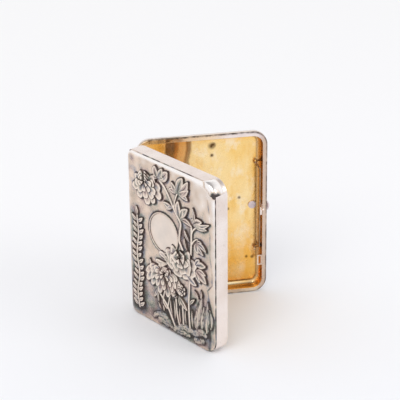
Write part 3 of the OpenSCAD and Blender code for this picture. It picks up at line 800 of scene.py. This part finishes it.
def swollen_corner(sheet):
    """Polished swelling where the sheet wraps over the corner at the top of the opening side

    Each row is a ray from the corner's centre; it climbs the wall, turns over the arc and runs in flat. Its
    dark marks at both ends of the turn and along the wall's back edge are painted reflections; its polish
    has a painted highlight.
    """
    turn = np.linspace(*SWELL_TURN, SWELL_ROWS)[:, None]
    risen = np.sin(np.pi / 2 * rise(turn, 7, 29) * rise(turn, 95, 73)) ** 2
    swell = SWELL * risen - SWELL_SINK
    bend = np.clip(3.2 * swell, 0.1, SWELL_ROUND)
    up = np.linspace(0, 1, 10)[None, :]
    wall = np.sin(np.pi / 2 * up)
    wall_c = SWELL_LOW_C + (FACE_C + swell - bend - SWELL_LOW_C) * up
    wall_reach = CORNER_R - SWELL_SINK * (1 - wall) + swell * wall
    arc = np.linspace(0, np.pi / 2, 11)[None, 1:]
    arc_c = FACE_C + swell - bend + bend * np.sin(arc)
    arc_reach = CORNER_R + swell - bend + bend * np.cos(arc)
    flat = np.linspace(1, 0, 10)[None, 1:]
    flat_c = FACE_C + swell * np.sin(np.pi / 2 * flat) - 0.12 * (1 - flat)
    flat_reach = SWELL_INNER + (CORNER_R + swell - bend - SWELL_INNER) * flat
    depth = np.hstack([wall_c, arc_c, flat_c])
    reach = np.hstack([wall_reach, arc_reach, flat_reach])
    ray = np.stack([np.cos(np.radians(turn)), np.sin(np.radians(turn))], -1)
    place = np.array([CASE_W - CORNER_R, CASE_H - CORNER_R]) + ray * reach[..., None]
    # Painted dark reflections at the low and high ends of the turn and along the wall's back edge, and the
    # painted shade of the hollow
    tarnish_and_shading = 2 * bell(turn - 12, 7) * np.clip((depth - 4) / 4, 0.5, 1)
    tarnish_and_shading = tarnish_and_shading + 1.2 * bell(turn - 88, 5) * rise(depth, 9, 6)
    tarnish_and_shading += 1.3 * bell(depth - SWELL_LOW_C, 0.7) + 2.2 * painted_shade_spot(place) * rise(depth, 5, 8)
    # Polish with a painted highlight over the wall, the arc and, fading in, the flat
    polish_and_highlight = np.hstack([np.ones_like(wall_c), 1 - (1 - risen) * 2 * arc / np.pi, risen * flat])
    sheet.patch(place, depth - FACE_C, tarnish_and_shading - 0.8 * polish_and_highlight)


def lid_face(material, prints):
    """Face sheet round the raised work, with its swollen corner"""
    place = face_grid()
    inside = np.maximum(face_outline(place, SEAM_INSET), 0)
    gap = gap_to_prints(place, prints)
    sheet = Relief()
    sheet.patch(place, face_height(place, inside), face_tarnish_and_shading(place, inside, gap))
    swollen_corner(sheet)
    sheet.make("face_sheet", material, "silver_face", "lid_panel")


# Flowers, leaves and rocks

def flower(relief, heart, centre, half_w, half_h, tiers, seed, widest=0.66, blunt=0.55):
    """Petals in tiers from a heart to an ellipse round centre

    Each tier is count, reach, petal width, height of the tips, height of the roots, and the petals' bend.
    """
    heart = np.array(heart, float)
    inner_reach = [tier[1] for tier in tiers[1:]] + [0]
    for level, (count, reach, width, tip_h, root_h, bend) in enumerate(tiers):
        covered = 0.93 * inner_reach[level] / reach
        for i in range(count):
            jitter = noise.noise(Vector((i * 1.7, level * 3.1, seed + 0.5)))
            turn = (i + 0.5 * (level % 2) + 0.3 * jitter) * 2 * math.pi / count + seed
            rim = np.array([centre[0] + half_w * math.cos(turn), centre[1] + half_h * math.sin(turn)])
            tip = heart + (rim - heart) * reach * (1 + 0.1 * jitter)
            root = heart + (tip - heart) * 0.16
            petal_w = min(width * (1 + 0.15 * jitter), 1.15 * np.hypot(*(tip - root)))
            points = bowed(root, tip, bend * math.cos(turn), 0.55)
            raised = 0.14 * (i % 2)
            relief.blade(points, petal_w, root_h + raised, tip_h + raised, widest=widest, blunt=blunt,
                         dome=0.3, vein=0.02, lift=0.3, root_shade=1.1 * reach, covered=covered)


def leaf(relief, root, lobes, high=0.8):
    """Leaf of several lobes from one root; each lobe is a tip, a width and how far it bows"""
    for i, (tip, width, bow) in enumerate(lobes):
        relief.blade(bowed(root, tip, bow), width, high * 0.75, high - 0.06 * (i % 2), widest=0.5, dome=0.3,
                     vein=0.26, lift=0.08, pleat=0.5, line=min(0.34, 0.09 * width))


def upper_bloom(relief):
    """Chrysanthemum at the top of the hinge side"""
    tiers = [(10, 1.0, 6.6, 0.4, 0.7, 0.08),
             (8, 0.76, 6, 0.7, 0.95, -0.08),
             (6, 0.5, 4.6, 0.95, 1.15, 0.06),
             (3, 0.26, 2.8, 1.15, 1.25, 0)]
    flower(relief, (20.5, 98), (23.3, 93.6), 13.6, 10.6, tiers, seed=0.3, widest=0.7, blunt=0.48)


def middle_bloom(relief):
    """Peony below the cartouche, with a half-open bud"""
    bud = (43, 49)
    bud_petals = [((29.5, 46.8), 4.6, 0.1), ((33, 53.4), 4.8, -0.1), ((38.6, 53), 4.4, 0.1),
                  ((32.5, 43.8), 3.6, 0)]
    for tip, width, bow in bud_petals:
        relief.blade(bowed(bud, tip, bow, 0.55), width, 0.75, 0.5, widest=0.66, blunt=0.55, dome=0.3,
                     vein=0.1)
    tiers = [(9, 1.0, 9.4, 0.4, 0.7, 0.12),
             (7, 0.76, 8.6, 0.72, 0.95, -0.14),
             (5, 0.52, 7, 0.95, 1.12, 0.16),
             (3, 0.3, 4.6, 1.1, 1.25, 0)]
    flower(relief, (53.4, 56.6), (54.6, 52.2), 14.2, 9.2, tiers, seed=0.9, widest=0.74, blunt=0.42)


def lower_bloom(relief):
    """Large chrysanthemum with its bud, a leaf and two small flowers"""
    tiers = [(13, 1.0, 5.6, 0.4, 0.65, 0.2),
             (10, 0.78, 4.8, 0.68, 0.9, 0.24),
             (7, 0.54, 4, 0.92, 1.1, 0.2),
             (4, 0.3, 2.6, 1.1, 1.25, 0.1)]
    flower(relief, (38.4, 39.6), (37.2, 33.8), 16.6, 9.8, tiers, seed=0.1)
    relief.lump([(36.6, 42.2), (38.6, 43), (40.8, 42.6)], 4.2, 1.1, rows=14, seed=12, grain=0.9)
    relief.blade([(29, 39.5), (25.6, 42), (24.2, 45.8)], 2.6, 0.4, 0.7, widest=0.4)
    small = [(7, 1.0, 3.0, 0.4, 0.65, 0.05), (5, 0.62, 2.2, 0.65, 0.85, 0), (3, 0.3, 1.4, 0.85, 0.95, 0)]
    flower(relief, (53.6, 34.2), (53.8, 34.6), 4.8, 4.4, small, seed=0.4)
    flower(relief, (48.6, 28.4), (48.8, 28.2), 3.4, 3, small[1:], seed=1.2)


def upper_leaves(relief):
    """Leaves round the stem above the cartouche"""
    leaf(relief, (33.2, 103.6), [((31.2, 112), 6.2, 0.12), ((43.2, 111.2), 7.4, -0.1),
                                 ((38.2, 112), 5.6, -0.05), ((40, 105), 3.6, 0.1), ((28.6, 104.2), 3.2, 0)])
    leaf(relief, (51.8, 99.6), [((57, 111.6), 7.4, 0.05), ((61.8, 110.6), 6.2, -0.1), ((46.4, 106), 5, 0.1),
                                ((43.8, 100.4), 4.4, -0.05), ((62.4, 105.2), 5, -0.1),
                                ((61.8, 97.6), 5, 0.12)])
    leaf(relief, (47.6, 88.6), [((38.4, 90), 4.6, 0.08), ((41.2, 85.8), 3.6, -0.08)])
    leaf(relief, (53.5, 83.2), [((52.4, 95.2), 6, 0.08), ((61.4, 92.4), 5.8, 0.06), ((57.4, 91.6), 4.6, 0),
                                ((65.4, 81.6), 4.2, 0.1)])


def side_leaves(relief):
    """Leaves between the cartouche and the opening side"""
    leaf(relief, (65.2, 83.4), [((65.6, 94.8), 3, -0.12), ((74.4, 88), 5.2, 0.08), ((81, 88.6), 3.8, -0.08),
                                ((78.8, 84.2), 3.8, -0.05), ((66.4, 88), 3, 0.1)])
    leaf(relief, (62.6, 70.1), [((58, 77.4), 2.6, 0.1)], 0.7)
    leaf(relief, (60.2, 63.6), [((57.6, 72), 2.4, 0.1)], 0.7)
    leaf(relief, (68.6, 72.4), [((78, 68.9), 4.2, 0.1), ((74, 73.8), 3, 0.1), ((70.8, 65.4), 5.2, -0.12),
                                ((75.4, 65.8), 4, -0.1)])


def lower_leaves(relief):
    """Leaves below the cartouche"""
    leaf(relief, (67.4, 56.6), [((77.6, 59.2), 5.4, 0.06), ((72, 62.2), 4, 0.08)])
    leaf(relief, (67.6, 53.4), [((78, 47.4), 6.6, 0.04), ((77.4, 53), 4.4, 0.08), ((72.2, 46), 4.2, -0.08)])
    leaf(relief, (59.4, 47.6), [((69, 43), 5.4, -0.06)])
    leaf(relief, (51.6, 29.8), [((60.2, 22), 4.6, -0.05), ((52.8, 22.6), 3, 0.05)])
    leaf(relief, (61.8, 26.8), [((67, 33), 2.6, 0.06)])
    leaf(relief, (66.2, 39.2), [((70.4, 34.6), 2.4, 0)])
    leaf(relief, (72.3, 41.6), [((73, 35.6), 2.6, 0)])
    leaf(relief, (31, 27), [((28, 19.6), 2.6, 0.05), ((32.6, 17.8), 2.4, -0.05)], 0.6)


def branches(relief):
    """Stems that carry the flowers and leaves"""
    relief.stem([(34, 103.4), (39.4, 99.4), (44.4, 93.4), (48, 88), (52.6, 82.5), (54.2, 79.6), (53.2, 74),
                 (52.6, 68.3), (53.8, 65.6), (55.8, 62.4)], 1.7, 0.62, rows=48)
    relief.stem([(51.6, 99.8), (49.4, 94.6), (48, 89)], 1.1, 0.56)
    relief.stem([(68.4, 82.4), (65.4, 79.4), (64, 76.4)], 1.2, 0.56)
    relief.stem([(64, 82), (63.9, 76), (63.7, 69.7), (63.2, 62)], 1.6, 0.58)
    relief.stem([(63.8, 69.2), (66.4, 72.8), (69, 74.6), (71.4, 73.6)], 1.1, 0.55)
    relief.stem([(61.6, 43.6), (61.4, 37), (60.7, 28.5), (60.9, 20), (61.6, 10)], 1.6, 0.58, rows=30)
    relief.stem([(31.6, 25.6), (36, 21.6), (40.4, 17.6), (44.4, 11.2), (47.4, 5.8)], 1.6, 0.56, rows=28)
    relief.stem([(38.2, 28.6), (36.3, 20), (39.6, 15.6)], 1.2, 0.5)
    relief.stem([(43.6, 28.6), (41.2, 19.6), (39.9, 15.6)], 1.2, 0.5)
    relief.stem([(48.6, 27.4), (49.5, 16.1), (51.8, 8)], 1.5, 0.54)
    relief.stem([(54.4, 28), (55.2, 17), (55.5, 9.8)], 1.5, 0.54)


def reed_blades(relief):
    """Narrow blades between the lower stems"""
    reeds = [((45, 12), (43.4, 23.6), 0.05), ((47.4, 10), (46.6, 24.4), -0.04),
             ((52.8, 9.6), (52, 21), 0.04), ((58.2, 10.6), (57.4, 22), 0.05),
             ((64.4, 11), (63.6, 24), 0.03), ((34.4, 13), (31.6, 17.6), 0.06),
             ((36.8, 12.4), (36.4, 17), -0.05)]
    for base, tip, bow in reeds:
        relief.blade(bowed(base, tip, bow), 1.7, 0.3, 0.42, widest=0.4, blunt=0.9, dome=0.14, vein=0.08,
                     line=0.15)


def rock_banks(relief):
    """Low banks along the foot and tall crags at the opening side"""
    relief.lump([(26, 4.2), (30.4, 8.2), (36.4, 9.6), (40.8, 7.4), (44.6, 3.2)], 3.6, 0.62, seed=1)
    relief.lump([(45.4, 3.2), (50.4, 5.6), (56, 9), (61, 8.4), (66, 8.8)], 4.4, 0.66, rows=34, seed=2)
    relief.lump([(49, 2.6), (55, 4.4), (61.6, 4.6)], 3.2, 0.45, seed=3)
    relief.lump([(31, 4.2), (36, 6), (41.6, 3.6)], 5, 0.4, seed=10, grain=1.2)
    relief.lump([(65, 3.8), (70, 4.4), (75, 6.4)], 4, 0.42, seed=11, grain=1.2)
    relief.lump([(64, 7.2), (68.6, 9.8), (73.4, 12), (77, 10)], 4.6, 0.6, rows=34, seed=4, grain=1.3)
    relief.crag([(68, 12.4), (69, 20), (71, 29), (73.6, 37)], 6.4, 0.62, seed=5)
    relief.crag([(67, 13), (66.4, 18), (68.2, 25.6)], 3.6, 0.5, seed=6)
    relief.crag([(72.6, 14), (73.6, 22), (75, 31)], 4.2, 0.55, seed=7, lean=0.3)
    relief.crag([(77.4, 13.4), (77.2, 22), (78.2, 35.6)], 5.4, 0.6, seed=8)
    relief.crag([(81, 17.4), (81.6, 24), (80, 30.6)], 3.8, 0.5, seed=9, lean=-0.2)


def cartouche_ring(relief):
    """Half-round wire round the plain disc"""
    turn = np.linspace(0, 2 * math.pi, 97)
    arc = np.linspace(0, math.pi, 7)
    half = CARTOUCHE_RIM_W / 2
    middle = CARTOUCHE_R + half
    radius = np.concatenate([[middle - 0.6], middle - half * np.cos(arc), [middle + 0.6]])
    height = np.concatenate([[-0.2], 0.12 + 0.36 * np.sin(arc), [-0.2]])
    dark = np.concatenate([[1], 0.75 * (1 - np.sin(arc)), [1]])
    ray = np.stack([np.cos(turn), np.sin(turn)], -1)
    place = np.array(CARTOUCHE) + ray[:, None, :] * radius[None, :, None]
    relief.patch(place, np.tile(height, (len(turn), 1)), np.tile(dark, (len(turn), 1)))


def sprig(relief):
    """Plain leafy sprig along the hinge side"""
    spine = [(12.8, 6), (11.4, 18), (13.6, 31), (11.6, 45), (13.4, 59), (12.4, 72)]
    way = smooth_path(spine, 34)
    look = {"dome": 0.24, "vein": 0.14, "line": 0.22}
    for i in range(1, 33, 2):
        root = way[i]
        length = 5.9 + 0.7 * math.sin(i * 1.9)
        for side in (-1, 1):
            tip = root + (side * length * 0.84, length * 0.58)
            belly = root + (tip - root) * 0.5 + (0, -0.7)
            relief.blade([root, belly, tip], 3, 0.5, 0.6, widest=0.5, **look)
    relief.stem(spine, 1.3, 0.62, rows=60)
    top = way[-1]
    relief.blade([top, top + (0, 3), top + (-0.6, 6.4)], 3, 0.5, 0.6, **look)


def dress_lid():
    """Raised work first, then the face sheet, whose tarnish and painted shadow follow it"""
    raised = chased_silver("relief_silver", (242, 224, 207), (218, 199, 182), (84, 68, 60), (255, 246, 234))
    ground = chased_silver("ground_silver", (236, 215, 196), (212, 192, 174), (76, 68, 66), (255, 250, 246))
    stone = chased_silver("stone_silver", (226, 210, 192), (190, 180, 170), (78, 68, 62), (244, 230, 212))
    work = [(upper_bloom, raised, "chrysanthemum_upper", "bloom_upper"),
            (middle_bloom, raised, "peony_middle", "bloom_middle"),
            (lower_bloom, raised, "chrysanthemum_lower", "bloom_lower"),
            (upper_leaves, raised, "leaves_top", "leaves_upper"),
            (side_leaves, raised, "leaves_side_scene", "leaves_side"),
            (lower_leaves, raised, "leaves_low", "leaves_lower"),
            (branches, raised, "branches", "stems"),
            (reed_blades, raised, "reed_blades", "reeds"),
            (cartouche_ring, raised, "cartouche_ring", "cartouche_rim"),
            (sprig, raised, "leafy_sprig", "side_sprig"),
            (rock_banks, stone, "rock_banks", "rocks")]
    prints = []
    for draw, material, name, node in work:
        relief = Relief()
        draw(relief)
        prints.append(relief.make(name, material, "silver_relief", node))
    lid_face(ground, np.concatenate(prints))


# The part's own nodes

def dress(nodes, names, material):
    """Gives the part's own nodes a better material"""
    for name in names:
        mesh = nodes[name].data
        mesh.materials.clear()
        mesh.materials.append(material)


def dress_case(nodes):
    """Materials of the nodes that keep the part's own solids"""
    wall = worn_silver("wall_silver", (246, 235, 228), (234, 219, 209), (130, 112, 102), (0.14, 0.28), 0.5)
    lip = worn_silver("rim_silver", (246, 232, 213), (226, 208, 188), (120, 100, 92), (0.16, 0.3), 0.6,
                      lip=True)
    back = worn_silver("back_silver", (238, 229, 224), (227, 216, 210), (140, 124, 116), (0.18, 0.34), 0.5)
    hinge = worn_silver("hinge_silver", (206, 198, 196), (176, 164, 158), (84, 72, 66), (0.26, 0.44), 0.8)
    catch = worn_silver("catch_silver", (226, 212, 214), (198, 180, 180), (92, 78, 72), (0.24, 0.4), 0.7)
    wire = worn_silver("wire_silver", (186, 160, 134), (150, 124, 100), (72, 54, 42), (0.28, 0.42), 0.8)
    dress(nodes, ["lid_frame", "catch_tooth"], wall)
    dress(nodes, ["base_frame", "rim_loop"], lip)
    dress(nodes, ["base_back"], back)
    dress(nodes, ["base_knuckle_1", "base_knuckle_2", "base_knuckle_3", "lid_knuckle_1", "lid_knuckle_2",
                  "hinge_pin"], hinge)
    dress(nodes, ["button_bush", "catch_stop", "push_button", "button_plate"], catch)
    dress(nodes, ["catch_bar", "catch_pivots"], wire)
    dress(nodes, ["base_liner"], worn_gilt("base_gilding", base=True))
    dress(nodes, ["lid_liner", "catch_lug_upper", "catch_lug_lower"], worn_gilt("lid_gilding"))


# Studio and camera

# Floor colours from the camera's side to the back, painted light that is darker near the camera, and the
# sky's with their heights
FLOOR_FRONT = srgb(234, 236, 240)
FLOOR_MIDDLE = srgb(244, 244, 245)
FLOOR_BACK = srgb(253, 253, 252)
SKY = ((0.55, srgb(251, 251, 253)), (0.9, srgb(172, 170, 172)))
SOFT_LIGHT = (0.98, 0.98, 1, 1)
SOFT_LIGHT_STRENGTH = 0.86


def make_floor():
    """Pale table with painted light, darker near the camera and brightening towards the back"""
    corners = [(x * FLOOR_HALF, y * FLOOR_HALF, 0) for x, y in ((-1, -1), (1, -1), (1, 1), (-1, 1))]
    s = Shader("studio_floor", metallic=0)
    s.bsdf.inputs["Specular IOR Level"].default_value = 0.1
    colour = s.mix(s.along("Y", -300, 150), FLOOR_FRONT, FLOOR_MIDDLE)
    colour = s.mix(s.along("Y", 150, 1000), colour, FLOOR_BACK)
    floor = mesh_object("floor", corners, [(0, 1, 2, 3)], s.finish(colour, 0.8))


def make_world():
    """Pale surroundings for the camera and the metal, softer ones for the diffuse light"""
    world = bpy.data.worlds.new("studio")
    world.use_nodes = True
    nodes = world.node_tree.nodes
    link = world.node_tree.links.new
    nodes.clear()
    way = nodes.new("ShaderNodeSeparateXYZ")
    link(nodes.new("ShaderNodeTexCoord").outputs["Generated"], way.inputs["Vector"])
    ramp = nodes.new("ShaderNodeValToRGB")
    ramp.color_ramp.interpolation = "EASE"
    for element, (height, colour) in zip(ramp.color_ramp.elements, SKY):
        element.position = height
        element.color = colour
    link(way.outputs["Z"], ramp.inputs["Fac"])
    seen = nodes.new("ShaderNodeBackground")
    link(ramp.outputs["Color"], seen.inputs["Color"])
    light = nodes.new("ShaderNodeBackground")
    light.inputs["Color"].default_value = SOFT_LIGHT
    light.inputs["Strength"].default_value = SOFT_LIGHT_STRENGTH
    rays = nodes.new("ShaderNodeLightPath")
    either = nodes.new("ShaderNodeMath")
    either.operation = "MAXIMUM"
    link(rays.outputs["Is Camera Ray"], either.inputs[0])
    link(rays.outputs["Is Glossy Ray"], either.inputs[1])
    mixer = nodes.new("ShaderNodeMixShader")
    link(either.outputs[0], mixer.inputs["Fac"])
    link(light.outputs["Background"], mixer.inputs[1])
    link(seen.outputs["Background"], mixer.inputs[2])
    link(mixer.outputs["Shader"], nodes.new("ShaderNodeOutputWorld").inputs["Surface"])
    bpy.context.scene.world = world


def aim(obj, eye, target, roll=0.0):
    """Turns a lamp or camera at eye towards target"""
    back = (Vector(eye) - Vector(target)).normalized()
    level = Vector((0, 0, 1)).cross(back).normalized()
    upright = back.cross(level)
    right = level * math.cos(roll) + upright * math.sin(roll)
    up = upright * math.cos(roll) - level * math.sin(roll)
    obj.matrix_world = Matrix.Translation(eye) @ Matrix((right, up, back)).transposed().to_4x4()


def area_lamp(name, eye, size, watts, colour):
    """Square lamp at eye, aimed at the case"""
    lamp = bpy.data.lights.new(name, "AREA")
    lamp.size = size
    lamp.energy = watts
    lamp.color = colour
    holder = bpy.data.objects.new(name, lamp)
    bpy.context.scene.collection.objects.link(holder)
    aim(holder, eye, LAMP_AIM)


def make_camera():
    """The photograph's camera"""
    camera = bpy.data.cameras.new("camera")
    camera.sensor_fit = "HORIZONTAL"
    camera.sensor_width = SENSOR_MM
    camera.lens = FOCAL_PX * SENSOR_MM / IMAGE_PX
    holder = bpy.data.objects.new("camera", camera)
    bpy.context.scene.collection.objects.link(holder)
    back = Vector((math.sin(CAMERA_AZIMUTH) * math.cos(CAMERA_ELEVATION),
                   -math.cos(CAMERA_AZIMUTH) * math.cos(CAMERA_ELEVATION),
                   math.sin(CAMERA_ELEVATION)))
    aim(holder, CAMERA_AIM + back * CAMERA_DISTANCE, CAMERA_AIM, CAMERA_ROLL)
    bpy.context.scene.camera = holder


def main():
    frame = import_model()
    scene = bpy.context.scene
    scene.view_settings.view_transform = "Standard"
    dress_case(frame["nodes"])
    dress_lid()
    make_floor()
    make_world()
    area_lamp("key", eye=(-0.9, -1.3, 1.6), size=1.4, watts=14.5, colour=(1, 0.99, 0.97))
    area_lamp("fill", eye=(1.3, -0.9, 0.9), size=0.8, watts=5, colour=(0.99, 0.99, 1))
    make_camera()


main()
